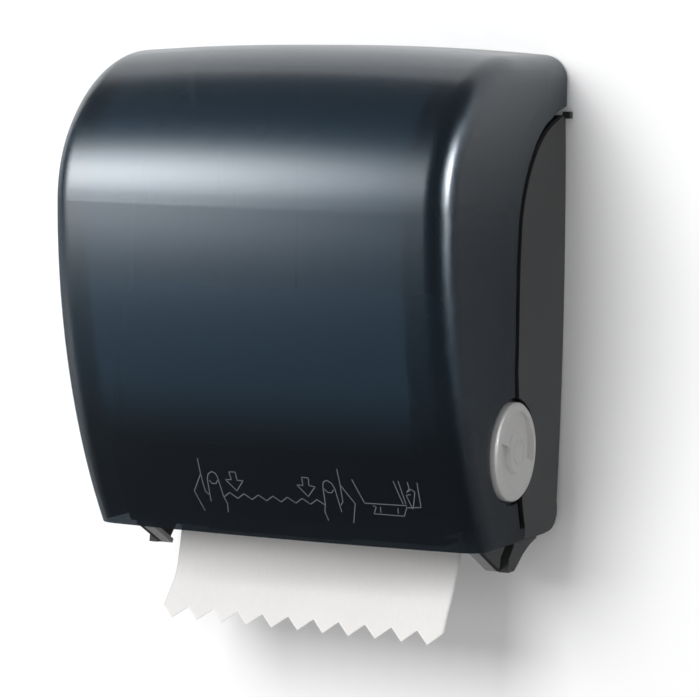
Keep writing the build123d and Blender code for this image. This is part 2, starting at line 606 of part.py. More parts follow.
def make_frame_screws():
    """Screws that hold the side frames and the arms to the back plate."""
    out = []
    for side in (-1, 1):
        for h in (40.0, 140.0):
            out.append(Pos(side * 101.0, -7.2, h - MOUNT_HEIGHT) * Rot(90, 0, 0) * Cylinder(3.6, 2.0))
        out.append(Pos(side * 99.6, -7.2, FULL_ROLL[1] - MOUNT_HEIGHT) * Rot(90, 0, 0) * Cylinder(3.2, 2.0))
    return out


def make_pinch_arm(side):
    """Swinging arm that presses the pinch roller on the drum."""
    x0, x1 = span(side, 112.4, 115.4)
    d, h = PINCH
    pivot = PINCH_PIVOT[0]
    pts = [(pivot - 6, 116), (pivot + 6, 116), (pivot + 5, 92), (d + 7, h - 3),
           (d + 3, h - 7), (d - 4, h - 7), (d - 7, h), (pivot - 5, 92)]
    body = prism(pts, x0, x1)
    post = rod((PINCH_PIVOT[0] - 1, 92.0), 1.6, *span(side, 115.0, 123.0))
    return body + post - rod(PINCH_PIVOT, 3.06, x0 - 1, x1 + 1) - rod(PINCH, 4.0, x0 - 1, x1 + 1)


def make_stub_hub(side):
    """Plug in the end of the stub roll's core, with its spindle."""
    core_end = abs(side * PAPER_HALF + PAPER_SHIFT)
    flange = rod(STUB_ROLL, 22.0, *span(side, core_end, core_end + 2.0))
    plug = rod(STUB_ROLL, 18.4, *span(side, core_end - 10, core_end + 0.1))
    return flange + plug + rod(STUB_ROLL, 4.0, *span(side, core_end, 112.0))


def main():
    """Write one file for each node."""
    os.makedirs("parts", exist_ok=True)
    for name, shape in make_parts().items():
        if isinstance(shape, list):
            shape = Compound(children=shape)
        export_step(shape, f"parts/{name}.step")


main()
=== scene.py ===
"""A wall-hung paper towel dispenser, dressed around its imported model.

Metres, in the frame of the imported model: X to the right, -Y out from the wall, +Z up, with the origin at
the centre of the wall screws. Each sub-assembly is a class with its sizes as fields and methods that build
its meshes and dress them. Each finish is a frozen dataclass that makes one material.
"""
import json
import logging
from dataclasses import dataclass, field
from enum import Enum

import bpy
import numpy as np
from mathutils import Matrix, Vector

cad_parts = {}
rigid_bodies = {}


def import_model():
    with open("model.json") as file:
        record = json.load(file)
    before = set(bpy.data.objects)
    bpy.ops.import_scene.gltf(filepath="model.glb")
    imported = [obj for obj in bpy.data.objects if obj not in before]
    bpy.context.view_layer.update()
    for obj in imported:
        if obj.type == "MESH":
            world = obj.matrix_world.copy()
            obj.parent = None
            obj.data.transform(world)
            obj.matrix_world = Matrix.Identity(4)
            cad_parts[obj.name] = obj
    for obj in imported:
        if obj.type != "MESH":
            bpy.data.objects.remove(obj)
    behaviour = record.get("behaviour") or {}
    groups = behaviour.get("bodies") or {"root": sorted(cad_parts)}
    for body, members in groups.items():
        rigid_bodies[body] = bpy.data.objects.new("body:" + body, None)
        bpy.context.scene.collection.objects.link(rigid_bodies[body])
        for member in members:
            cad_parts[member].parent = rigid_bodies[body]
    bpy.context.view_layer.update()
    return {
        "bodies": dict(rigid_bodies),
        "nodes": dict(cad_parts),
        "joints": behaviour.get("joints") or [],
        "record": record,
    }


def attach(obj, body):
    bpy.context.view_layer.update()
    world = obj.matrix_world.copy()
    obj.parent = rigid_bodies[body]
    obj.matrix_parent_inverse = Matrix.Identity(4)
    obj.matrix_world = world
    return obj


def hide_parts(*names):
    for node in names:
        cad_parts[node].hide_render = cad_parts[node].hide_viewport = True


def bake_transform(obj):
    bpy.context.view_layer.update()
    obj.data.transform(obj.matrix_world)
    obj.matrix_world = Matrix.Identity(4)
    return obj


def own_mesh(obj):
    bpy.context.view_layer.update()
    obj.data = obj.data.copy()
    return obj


LOG = logging.getLogger("dispenser")
MILLIMETRE = 0.001
Socket = bpy.types.NodeSocket
Tree = bpy.types.NodeTree


class Group(Enum):
    """Names of the shader node groups."""

    GRAIN = "MouldedGrain"
    DUST = "SettledDust"
    PANEL = "SoftPanel"


def feed(tree: Tree, value: object, socket: Socket) -> None:
    """Link a socket's source to it, or set its value.

    Args:
        tree: the node tree.
        value: a socket to link from, or a plain value.
        socket: the input.
    """
    if isinstance(value, Socket):
        tree.links.new(value, socket)
    else:
        socket.default_value = value


def compute(tree: Tree, operation: str, *values: object, clamp: bool = False) -> Socket:
    """Add a Math node.

    Args:
        tree: the node tree.
        operation: what it does, such as ADD.
        values: its inputs in order, each a number or a socket.
        clamp: keeps the result between 0 and 1.

    Returns:
        The result's socket.
    """
    node = tree.nodes.new("ShaderNodeMath")
    node.operation, node.use_clamp = operation, clamp
    for socket, value in zip(node.inputs, values):
        feed(tree, value, socket)
    return node.outputs[0]


def noise(tree: Tree, where: Socket, scale: object, detail: float) -> Socket:
    """Add a Noise Texture.

    Args:
        tree: the node tree.
        where: the coordinates.
        scale: its scale, a number or a socket.
        detail: its octaves.

    Returns:
        The socket of its value.
    """
    node = tree.nodes.new("ShaderNodeTexNoise")
    for label, value in (("Vector", where), ("Scale", scale), ("Detail", detail)):
        feed(tree, value, node.inputs[label])
    return node.outputs["Fac"]


def mix_colors(tree: Tree, share: Socket, first: object, second: object) -> Socket:
    """Add a Mix node between two colours.

    Args:
        tree: the node tree.
        share: how much of the second colour.
        first: a socket, or red, green and blue.
        second: a socket, or red, green and blue.

    Returns:
        The result's socket.
    """
    node = tree.nodes.new("ShaderNodeMix")
    node.data_type = "RGBA"
    sockets = {socket.identifier: socket for socket in (*node.inputs, *node.outputs)}
    tree.links.new(share, sockets["Factor_Float"])
    for label, color in (("A_Color", first), ("B_Color", second)):
        feed(tree, color if isinstance(color, Socket) else (*color, 1.0), sockets[label])
    return sockets["Result_Color"]


def mix_shaders(tree: Tree, share: object, first: Socket, second: Socket) -> Socket:
    """Add a Mix Shader node.

    Args:
        tree: the node tree.
        share: how much of the second shader, a number or a socket.
        first: the first shader.
        second: the second shader.

    Returns:
        The result's socket.
    """
    node = tree.nodes.new("ShaderNodeMixShader")
    for value, socket in zip((share, first, second), node.inputs):
        feed(tree, value, socket)
    return node.outputs[0]


def smooth_step(tree: Tree, source: Socket, steps: tuple, times: Socket = None) -> Socket:
    """Add a smooth step from one value to another, multiplied by an earlier mask.

    Args:
        tree: the node tree.
        source: the value that it goes by.
        steps: where the step begins and ends, and the values before and after it.
        times: the earlier mask, if there is one.

    Returns:
        The result's socket.
    """
    ramp = tree.nodes.new("ShaderNodeMapRange")
    ramp.interpolation_type = "SMOOTHSTEP"
    for label, value in zip(("From Min", "From Max", "To Min", "To Max"), steps):
        ramp.inputs[label].default_value = value
    tree.links.new(source, ramp.inputs["Value"])
    result = ramp.outputs["Result"]
    return result if times is None else compute(tree, "MULTIPLY", result, times)


def split_axes(tree: Tree, vector: Socket) -> dict:
    """Add a Separate XYZ node.

    Args:
        tree: the node tree.
        vector: what it splits.

    Returns:
        Its outputs by the name of the axis.
    """
    node = tree.nodes.new("ShaderNodeSeparateXYZ")
    tree.links.new(vector, node.inputs[0])
    return {axis: node.outputs[axis] for axis in "XYZ"}


def object_place(tree: Tree) -> Socket:
    """Add a Texture Coordinate node and give its Object output."""
    return tree.nodes.new("ShaderNodeTexCoord").outputs["Object"]


def background(tree: Tree, color: tuple, strength: object = 1.0) -> Socket:
    """Add a Background node.

    Args:
        tree: the world's node tree.
        color: red, green and blue.
        strength: a number or a socket.

    Returns:
        The result's socket.
    """
    node = tree.nodes.new("ShaderNodeBackground")
    node.inputs["Color"].default_value = (*color, 1.0)
    feed(tree, strength, node.inputs["Strength"])
    return node.outputs[0]


def node_group(name: str, inputs: list, outputs: list) -> Tree:
    """Make an empty shader node group with named sockets.

    Args:
        name: the group's name.
        inputs: (name, socket type, default) for each input.
        outputs: (name, socket type) for each output.

    Returns:
        The new group, with its input and output nodes in it.
    """
    tree = bpy.data.node_groups.new(name, "ShaderNodeTree")
    for label, kind, default in inputs:
        socket = tree.interface.new_socket(name=label, in_out="INPUT", socket_type=kind)
        socket.default_value = default
    for label, kind in outputs:
        tree.interface.new_socket(name=label, in_out="OUTPUT", socket_type=kind)
    tree.nodes.new("NodeGroupInput").name = "in"
    tree.nodes.new("NodeGroupOutput").name = "out"
    return tree


@dataclass
class Palette:
    """Builds the shared node groups once and hands them to the finishes. Scales are per metre."""

    fine_detail: float = 2.0
    broad_scale: float = 18.0
    broad_detail: float = 3.0
    dust_scale: float = 40.0
    dust_detail: float = 4.0
    groups: dict = field(init=False)

    def __post_init__(self) -> None:
        """Make both groups."""
        self.groups = {Group.GRAIN: self.grain(), Group.DUST: self.dust()}

    def grain(self) -> Tree:
        """Fine pebble grain of a moulding: a fine noise as a height, and a broad one as a roughness.

        The roughness is the given one plus the spread times the broad noise less a half.

        Returns:
            The group.
        """
        tree = node_group(
            Group.GRAIN.value,
            [("Size", "NodeSocketFloat", 900.0), ("Roughness", "NodeSocketFloat", 0.4),
             ("Spread", "NodeSocketFloat", 0.05)],
            [("Height", "NodeSocketFloat"), ("Roughness", "NodeSocketFloat")])
        given, result = tree.nodes["in"].outputs, tree.nodes["out"].inputs
        where = object_place(tree)
        tree.links.new(noise(tree, where, given["Size"], self.fine_detail), result["Height"])
        centred = compute(tree, "SUBTRACT", noise(tree, where, self.broad_scale, self.broad_detail), 0.5)
        spread = compute(tree, "MULTIPLY_ADD", centred, given["Spread"], given["Roughness"])
        tree.links.new(spread, result["Roughness"])
        return tree

    def dust(self) -> Tree:
        """A base colour that pales a little where faces look up, broken up by noise.

        The dust's share is the amount times the noise times the normal's height.

        Returns:
            The group.
        """
        tree = node_group(
            Group.DUST.value,
            [("Color", "NodeSocketColor", (0.1, 0.1, 0.1, 1.0)),
             ("Dust", "NodeSocketColor", (0.4, 0.39, 0.37, 1.0)), ("Amount", "NodeSocketFloat", 0.05)],
            [("Color", "NodeSocketColor")])
        given, result = tree.nodes["in"].outputs, tree.nodes["out"].inputs
        normal = split_axes(tree, tree.nodes.new("ShaderNodeNewGeometry").outputs["Normal"])
        patches = noise(tree, object_place(tree), self.dust_scale, self.dust_detail)
        up = compute(tree, "MULTIPLY", normal["Z"], patches, clamp=True)
        share = compute(tree, "MULTIPLY", up, given["Amount"])
        tree.links.new(mix_colors(tree, share, given["Color"], given["Dust"]), result["Color"])
        return tree


def new_material(name: str) -> tuple:
    """Make a node material.

    Args:
        name: the material's name.

    Returns:
        The material, its node tree and its Principled shader.
    """
    material = bpy.data.materials.new(name)
    material.use_nodes = True
    return material, material.node_tree, material.node_tree.nodes["Principled BSDF"]


@dataclass(frozen=True)
class Plastic:
    """A moulded plastic or a like solid finish. The grain's depth is in millimetres."""

    name: str
    color: tuple
    roughness: float
    grain_size: float = 900.0
    grain_depth: float = 0.02
    bump_strength: float = 0.6
    roughness_spread: float = 0.06
    dust: float = 0.04
    metallic: float = 0.0
    specular: float = 0.5

    def build(self, palette: Palette) -> bpy.types.Material:
        """Make the material.

        Args:
            palette: the shared node groups.

        Returns:
            The material.
        """
        material, tree, shader = new_material(self.name)
        grain, dust = tree.nodes.new("ShaderNodeGroup"), tree.nodes.new("ShaderNodeGroup")
        grain.node_tree, dust.node_tree = palette.groups[Group.GRAIN], palette.groups[Group.DUST]
        grain.inputs["Size"].default_value = self.grain_size
        grain.inputs["Roughness"].default_value = self.roughness
        grain.inputs["Spread"].default_value = self.roughness_spread
        dust.inputs["Color"].default_value = (*self.color, 1.0)
        dust.inputs["Amount"].default_value = self.dust
        bump = tree.nodes.new("ShaderNodeBump")
        bump.inputs["Strength"].default_value = self.bump_strength
        bump.inputs["Distance"].default_value = self.grain_depth * MILLIMETRE
        tree.links.new(grain.outputs["Height"], bump.inputs["Height"])
        tree.links.new(bump.outputs["Normal"], shader.inputs["Normal"])
        tree.links.new(grain.outputs["Roughness"], shader.inputs["Roughness"])
        tree.links.new(dust.outputs["Color"], shader.inputs["Base Color"])
        shader.inputs["Metallic"].default_value = self.metallic
        shader.inputs["Specular IOR Level"].default_value = self.specular
        return material


@dataclass(frozen=True)
class SmokedPlastic:
    """The translucent cover: a clear gloss over a satin blue-grey body, and a painted glow in front of the
    paper that stands in for light from the lit paper and interior behind it.

    Each painted glow field is a step: where it begins and ends in metres, and the painted glow's share
    before and after it.
    """

    name: str = "SmokedCover"
    color: tuple = (0.005, 0.006, 0.008)
    painted_glow: tuple = (0.013, 0.024, 0.036)
    painted_glow_side: tuple = (0.106, 0.112, 1.0, 0.3)
    painted_glow_foot: tuple = (-0.105, -0.055, 0.0, 1.0)
    painted_glow_head: tuple = (-0.001, 0.005, 1.0, 0.72)
    passed: tuple = (0.80, 0.92, 1.0)
    clear_share: float = 0.20
    roughness: float = 0.52
    specular: float = 0.30
    tint: tuple = (0.42, 0.74, 1.0)
    coat: float = 1.0
    coat_roughness: float = 0.22
    grain_size: float = 2500.0
    roughness_spread: float = 0.04

    def build(self, palette: Palette) -> bpy.types.Material:
        """Make the material: a painted glow, standing in for light from the lit paper behind, where the
        paper is behind, not at the sides or foot, and weaker above.

        Args:
            palette: the shared node groups.

        Returns:
            The material.
        """
        material, tree, shader = new_material(self.name)
        grain = tree.nodes.new("ShaderNodeGroup")
        grain.node_tree = palette.groups[Group.GRAIN]
        grain.inputs["Size"].default_value = self.grain_size
        grain.inputs["Roughness"].default_value = self.roughness
        grain.inputs["Spread"].default_value = self.roughness_spread
        tree.links.new(grain.outputs["Roughness"], shader.inputs["Roughness"])
        shader.inputs["Specular IOR Level"].default_value = self.specular
        shader.inputs["Specular Tint"].default_value = (*self.tint, 1.0)
        shader.inputs["Coat Weight"].default_value = self.coat
        shader.inputs["Coat Roughness"].default_value = self.coat_roughness
        place = split_axes(tree, object_place(tree))
        # Painted glow: the base colour turns from the body's colour to a pale blue where the lit paper is
        # behind, as light from behind would show through.
        painted_glow_share = smooth_step(tree, compute(tree, "ABSOLUTE", place["X"]), self.painted_glow_side)
        for steps in (self.painted_glow_foot, self.painted_glow_head):
            painted_glow_share = smooth_step(tree, place["Z"], steps, painted_glow_share)
        tree.links.new(mix_colors(tree, painted_glow_share, self.color, self.painted_glow), shader.inputs["Base Color"])
        clear = tree.nodes.new("ShaderNodeBsdfTransparent")
        clear.inputs["Color"].default_value = (*self.passed, 1.0)
        surface = mix_shaders(tree, self.clear_share, shader.outputs[0], clear.outputs[0])
        tree.links.new(surface, tree.nodes["Material Output"].inputs["Surface"])
        return material


@dataclass(frozen=True)
class TowelPaper:
    """Creped white paper: fine streaks across the web, painted shade in the low streaks of the bump, wider
    soft bands, and a faint sheen.
    """

    name: str = "TowelPaper"
    color: tuple = (0.80, 0.79, 0.775)
    painted_crease_shade: tuple = (0.72, 0.71, 0.695)
    streaks: float = 1500.0
    streak_detail: float = 3.0
    bands: float = 1500.0 / 9.0
    band_detail: float = 2.0
    band_share: float = 0.6
    stretch: tuple = (1.0, 0.12, 0.12)
    depth: float = 0.00016
    specular: float = 0.1

    def build(self) -> bpy.types.Material:
        """Make the material.

        Returns:
            The material.
        """
        material, tree, shader = new_material(self.name)
        stretched = tree.nodes.new("ShaderNodeMapping")
        stretched.inputs["Scale"].default_value = self.stretch
        tree.links.new(object_place(tree), stretched.inputs["Vector"])
        where = stretched.outputs["Vector"]
        fine = noise(tree, where, self.streaks, self.streak_detail)
        broad = noise(tree, where, self.bands, self.band_detail)
        bump = tree.nodes.new("ShaderNodeBump")
        bump.inputs["Distance"].default_value = self.depth
        tree.links.new(compute(tree, "MULTIPLY_ADD", broad, self.band_share, fine), bump.inputs["Height"])
        tree.links.new(bump.outputs["Normal"], shader.inputs["Normal"])
        # Painted shade: the darker colour falls where the fine noise, which also raises the bump, is low.
        tree.links.new(mix_colors(tree, fine, self.painted_crease_shade, self.color), shader.inputs["Base Color"])
        shader.inputs["Roughness"].default_value = 1.0
        shader.inputs["Specular IOR Level"].default_value = self.specular
        return material


def direction(azimuth: float, elevation: float) -> np.ndarray:
    """Unit vector from the dispenser towards a place in the studio.

    Args:
        azimuth: degrees round from straight in front, negative to the left.
        elevation: degrees above level.

    Returns:
        The vector.
    """
    a, e = np.radians((azimuth, elevation))
    return np.array((np.sin(a) * np.cos(e), -np.cos(a) * np.cos(e), np.sin(e)))


@dataclass(frozen=True)
class Panel:
    """A patch of the world with soft edges that only gloss sees, in degrees."""

    azimuth: float
    elevation: float
    half_width: float
    half_height: float
    strength: float

    def axes(self) -> dict:
        """Vectors whose products with a direction tell how far it is from the middle.

        Returns:
            The group's vector inputs by name.
        """
        middle = direction(self.azimuth, self.elevation)
        across = direction(self.azimuth + 90.0, 0.0) / np.sin(np.radians(self.half_width))
        up = direction(self.azimuth, self.elevation + 90.0) / np.sin(np.radians(self.half_height))
        return {"Middle": middle, "Across": across, "Up": up}


def panel_group() -> Tree:
    """Brightness of a soft panel in one direction: a bell curve both ways, and none behind.

    It is the strength times e to the power of minus the sum of the squares of both offsets.

    Returns:
        The group.
    """
    measured = ("Middle", "Across", "Up")
    vectors = [(label, "NodeSocketVector", (0.0, 0.0, 1.0)) for label in ("Direction", *measured)]
    tree = node_group(Group.PANEL.value, vectors + [("Strength", "NodeSocketFloat", 1.0)],
                      [("Light", "NodeSocketFloat")])
    given, parts = tree.nodes["in"].outputs, {}
    for label in measured:
        dot = tree.nodes.new("ShaderNodeVectorMath")
        dot.operation = "DOT_PRODUCT"
        tree.links.new(given["Direction"], dot.inputs[0])
        tree.links.new(given[label], dot.inputs[1])
        parts[label] = dot.outputs["Value"]
    square = compute(tree, "MULTIPLY", parts["Across"], parts["Across"])
    both = compute(tree, "MULTIPLY_ADD", parts["Up"], parts["Up"], square)
    fall = compute(tree, "POWER", float(np.exp(-1.0)), both)
    front = compute(tree, "GREATER_THAN", parts["Middle"], 0.0)
    light = compute(tree, "MULTIPLY", compute(tree, "MULTIPLY", fall, front), given["Strength"])
    tree.links.new(light, tree.nodes["out"].inputs["Light"])
    return tree


@dataclass(frozen=True)
class Lamp:
    """A soft rectangular lamp that looks at the dispenser and has no mirror image in it.

    Azimuth and elevation are in degrees, the distance and the size in metres, and the power in watts.
    """

    name: str
    azimuth: float
    elevation: float
    distance: float
    size: tuple
    power: float
    target: tuple = (0.0, -0.09, 0.0)

    def build(self) -> None:
        """Make the lamp."""
        away = Vector(direction(self.azimuth, self.elevation))
        data = bpy.data.lights.new(self.name, "AREA")
        data.shape = "RECTANGLE"
        data.size, data.size_y = self.size
        data.energy = self.power
        lamp = bpy.data.objects.new(self.name, data)
        lamp.location = away * self.distance + Vector(self.target)
        lamp.rotation_euler = away.to_track_quat("Z", "Y").to_euler()
        lamp.visible_glossy = False
        bpy.context.scene.collection.objects.link(lamp)


@dataclass
class Studio:
    """Camera, backdrop, lamps and world. The backdrop is a wall that turns into a floor.

    Places are in metres, the camera's turns in degrees, its lens and sensor in millimetres. Each pair of
    glossy_wall is a step over the height: where it begins and ends, and the share before and after it.
    """

    place: tuple = (0.9746, -1.9904, 0.1557)
    yaw: float = 26.349
    pitch: float = 5.403
    roll: float = 0.665
    lens: float = 173.3
    sensor: float = 36.0
    wall_gap: float = 0.0006
    floor_drop: float = 0.62
    cove: float = 0.25
    cove_points: int = 13
    reach: float = 6.0
    white: tuple = (0.90, 0.90, 0.90)
    lift: float = 0.03
    glossy_wall: tuple = ((0.0, 0.19, 0.17, 1.0), (0.34, 0.50, 1.0, 0.0))
    ambient: tuple = (0.41, 0.41, 0.415)
    dark: tuple = (0.035, 0.036, 0.038)
    glow: tuple = (0.97, 0.985, 1.0)
    lamps: tuple = (
        Lamp("KeySoftbox", azimuth=-15.0, elevation=23.0, distance=2.4, size=(1.25, 1.4), power=54.0),
        Lamp("LowFill", azimuth=-12.0, elevation=-14.0, distance=2.2, size=(1.8, 0.8), power=4.5),
    )
    panels: tuple = (
        Panel(azimuth=-40.0, elevation=18.0, half_width=15.0, half_height=16.0, strength=23.0),
        Panel(azimuth=-37.0, elevation=-3.0, half_width=17.0, half_height=7.5, strength=2.6),
        Panel(azimuth=87.0, elevation=15.0, half_width=13.0, half_height=12.5, strength=62.0),
        Panel(azimuth=-74.0, elevation=-20.0, half_width=13.0, half_height=12.0, strength=1.7),
    )

    def aim(self) -> None:
        """Place the camera where the photograph was taken."""
        yaw, pitch, roll = np.radians((self.yaw, self.pitch, self.roll))
        forward = Vector((-np.sin(yaw) * np.cos(pitch), np.cos(yaw) * np.cos(pitch), -np.sin(pitch)))
        right = Vector((np.cos(yaw), np.sin(yaw), 0.0))
        down = forward.cross(right)
        turned_right = right * np.cos(roll) - down * np.sin(roll)
        turned_down = right * np.sin(roll) + down * np.cos(roll)
        camera = bpy.data.objects.new("Camera", bpy.data.cameras.new("Camera"))
        camera.data.lens = self.lens
        camera.data.sensor_width = self.sensor
        axes = Matrix((turned_right, -turned_down, -forward)).transposed().to_4x4()
        camera.matrix_world = Matrix.Translation(self.place) @ axes
        bpy.context.scene.collection.objects.link(camera)
        bpy.context.scene.camera = camera

    def backdrop(self) -> None:
        """Wall and floor in one sheet: its profile is two lines joined by a quarter circle."""
        turn = np.linspace(0.0, np.pi / 2, self.cove_points)
        depth = self.wall_gap - self.cove * (1 - np.cos(turn))
        height = -self.floor_drop + self.cove * (1 - np.sin(turn))
        depth = np.concatenate(([self.wall_gap], depth, [-self.reach]))
        height = np.concatenate(([self.reach], height, [-self.floor_drop]))
        x = np.array((-self.reach, self.reach))
        grid = np.stack(np.broadcast_arrays(x[None, :], depth[:, None], height[:, None]), axis=-1)
        sheet = grid_object("Backdrop", grid)
        sheet.data.materials.append(self.backdrop_material())

    def backdrop_material(self) -> bpy.types.Material:
        """Matt white that keeps the shadow. The camera sees all of it from its front.

        Gloss sees only the wall, weaker low down and gone high up, as in a room lit at the dispenser.

        Returns:
            The material.
        """
        material, tree, shader = new_material("BackdropWhite")
        shader.inputs["Base Color"].default_value = (*self.white, 1.0)
        shader.inputs["Roughness"].default_value = 1.0
        shader.inputs["Specular IOR Level"].default_value = 0.0
        shader.inputs["Emission Color"].default_value = (1.0, 1.0, 1.0, 1.0)
        shader.inputs["Emission Strength"].default_value = self.lift
        path = tree.nodes.new("ShaderNodeLightPath").outputs
        shape = tree.nodes.new("ShaderNodeNewGeometry").outputs
        wall = compute(tree, "MULTIPLY", split_axes(tree, shape["Normal"])["Y"], -1.0, clamp=True)
        share = compute(tree, "MULTIPLY", path["Is Glossy Ray"], wall)
        height = split_axes(tree, object_place(tree))["Z"]
        for steps in self.glossy_wall:
            share = smooth_step(tree, height, steps, share)
        seen = compute(tree, "ADD", share, path["Is Camera Ray"], clamp=True)
        shown = compute(tree, "MULTIPLY", seen, compute(tree, "SUBTRACT", 1.0, shape["Backfacing"]))
        clear = tree.nodes.new("ShaderNodeBsdfTransparent").outputs[0]
        surface = mix_shaders(tree, shown, clear, shader.outputs[0])
        tree.links.new(surface, tree.nodes["Material Output"].inputs["Surface"])
        return material

    def world(self) -> None:
        """Even grey for matt surfaces, a dark room with soft panels for gloss, and white for the camera."""
        world = bpy.data.worlds.new("World")
        bpy.context.scene.world = world
        world.use_nodes = True
        tree, group = world.node_tree, panel_group()
        where = tree.nodes.new("ShaderNodeTexCoord").outputs["Generated"]
        total = 0.0
        for panel in self.panels:
            node = tree.nodes.new("ShaderNodeGroup")
            node.node_tree = group
            for label, value in panel.axes().items():
                node.inputs[label].default_value = value
            node.inputs["Strength"].default_value = panel.strength
            tree.links.new(where, node.inputs["Direction"])
            total = compute(tree, "ADD", total, node.outputs["Light"])
        even, room = tree.nodes["Background"], tree.nodes.new("ShaderNodeAddShader")
        even.inputs["Color"].default_value = (*self.ambient, 1.0)
        tree.links.new(background(tree, self.dark), room.inputs[0])
        tree.links.new(background(tree, self.glow, total), room.inputs[1])
        path = tree.nodes.new("ShaderNodeLightPath").outputs
        lit = mix_shaders(tree, path["Is Glossy Ray"], even.outputs[0], room.outputs[0])
        seen = mix_shaders(tree, path["Is Camera Ray"], lit, background(tree, (1.0, 1.0, 1.0)))
        tree.links.new(seen, tree.nodes["World Output"].inputs["Surface"])

    def build(self) -> None:
        """Make the camera, the backdrop, the lamps and the world."""
        bpy.context.scene.view_settings.view_transform = "Standard"
        self.aim()
        self.backdrop()
        for lamp in self.lamps:
            lamp.build()
        self.world()


def grid_object(name: str, grid: np.ndarray) -> bpy.types.Object:
    """Make a mesh object from a grid of points: one four-sided face between each four neighbours.

    Args:
        name: the object's name.
        grid: points as rows by columns by 3; a face's front is where rows turn into columns clockwise.

    Returns:
        The object, linked to the scene.
    """
    rows, columns = grid.shape[:2]
    index = np.arange(rows * columns).reshape(rows, columns)
    corners = (index[:-1, :-1], index[1:, :-1], index[1:, 1:], index[:-1, 1:])
    faces = np.stack(corners, axis=-1).reshape(-1, 4)
    mesh = bpy.data.meshes.new(name)
    mesh.from_pydata(grid.reshape(-1, 3).tolist(), [], faces.tolist())
    mesh.update()
    thing = bpy.data.objects.new(name, mesh)
    bpy.context.scene.collection.objects.link(thing)
    return thing


def thicken(sheet: bpy.types.Object, thickness: float, offset: float = -1.0) -> None:
    """Give a sheet its thickness and smooth shading.

    Args:
        sheet: the sheet's object.
        thickness: in metres.
        offset: where the sheet lies in its thickness, from -1 for its front to 0 for its middle.
    """
    solid = sheet.modifiers.new("thickness", "SOLIDIFY")
    solid.thickness, solid.offset = thickness, offset
    for face in sheet.data.polygons:
        face.use_smooth = True


def dress(nodes: dict, material: bpy.types.Material, names: tuple) -> None:
    """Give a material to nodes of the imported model.

    Args:
        nodes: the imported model's objects by name.
        material: the material.
        names: the nodes that it goes on.
    """
    for name in names:
        slots = nodes[name].material_slots
        if not slots:
            nodes[name].data.materials.append(material)
        for slot in slots:
            slot.material = material
        LOG.info("dressed %s in %s", name, material.name)


@dataclass
class Casing:
    """Front cover and rear housing."""

    smoke: SmokedPlastic = field(default_factory=SmokedPlastic)
    black: Plastic = Plastic("GrainedBlack", (0.019, 0.0193, 0.0196), 0.6, grain_size=700.0,
                             grain_depth=0.12, specular=0.3)

    def build(self, frame: dict, palette: Palette) -> None:
        """Dress the casing.

        Args:
            frame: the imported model.
            palette: the shared node groups.
        """
        dress(frame["nodes"], self.smoke.build(palette), ("front_cover",))
        dress(frame["nodes"], self.black.build(palette), ("rear_housing", "exit_chute"))


@dataclass
class Mechanism:
    """Frames, drum, rollers and hubs."""

    black: Plastic = Plastic("SatinBlack", (0.012, 0.012, 0.013), 0.38)
    drum: Plastic = Plastic("DrumGrey", (0.05, 0.052, 0.058), 0.42)
    pale: Plastic = Plastic("LightGreyPlastic", (0.30, 0.30, 0.295), 0.42)
    knob: Plastic = Plastic("KnobGrey", (0.71, 0.705, 0.69), 0.38)
    natural: Plastic = Plastic("NaturalAcetal", (0.72, 0.71, 0.68), 0.35)
    hub: Plastic = Plastic("HubGrey", (0.055, 0.056, 0.06), 0.4)
    steel: Plastic = Plastic("ZincSteel", (0.60, 0.60, 0.61), 0.30, metallic=1.0, grain_depth=0.01)
    blade: Plastic = Plastic("GroundBlade", (0.68, 0.68, 0.69), 0.22, metallic=1.0, grain_depth=0.01)
    rubber: Plastic = Plastic("GripRubber", (0.035, 0.035, 0.036), 0.75, grain_size=1500.0)
    card: Plastic = Plastic("KraftCard", (0.33, 0.22, 0.13), 0.85, grain_size=500.0)
    paper: Plastic = Plastic("RollPaper", (0.80, 0.79, 0.78), 0.95, grain_size=600.0, grain_depth=0.2,
                             dust=0.0)

    def build(self, frame: dict, palette: Palette) -> None:
        """Dress the mechanism.

        Args:
            frame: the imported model.
            palette: the shared node groups.
        """
        plan = (
            (self.black, ("side_frame_left", "side_frame_right", "mechanism_panel", "latch_keeper",
                          "arm_brackets", "roll_arm_left", "roll_arm_right", "pinch_arm_left",
                          "pinch_arm_right")),
            (self.drum, ("drum_shell", "drum_ends", "knife_carrier")),
            (self.pale, ("chute_rails", "pinch_wheels")),
            (self.knob, ("feed_knob",)),
            (self.natural, ("drum_bushings", "cam_ring", "ratchet_wheel", "ratchet_pawl", "crank_disc",
                            "stub_hubs")),
            (self.hub, ("roll_hub_left", "roll_hub_right")),
            (self.steel, ("hinge_pins", "frame_screws", "lock_barrel", "lock_cam", "drum_shaft",
                          "pinch_axle", "arm_pins", "toggle_spring", "pinch_springs")),
            (self.blade, ("cutting_knife",)),
            (self.rubber, ("drum_grips", "pinch_roller")),
            (self.card, ("roll_core",)),
            (self.paper, ("roll_paper",)),
        )
        for finish, names in plan:
            dress(frame["nodes"], finish.build(palette), names)


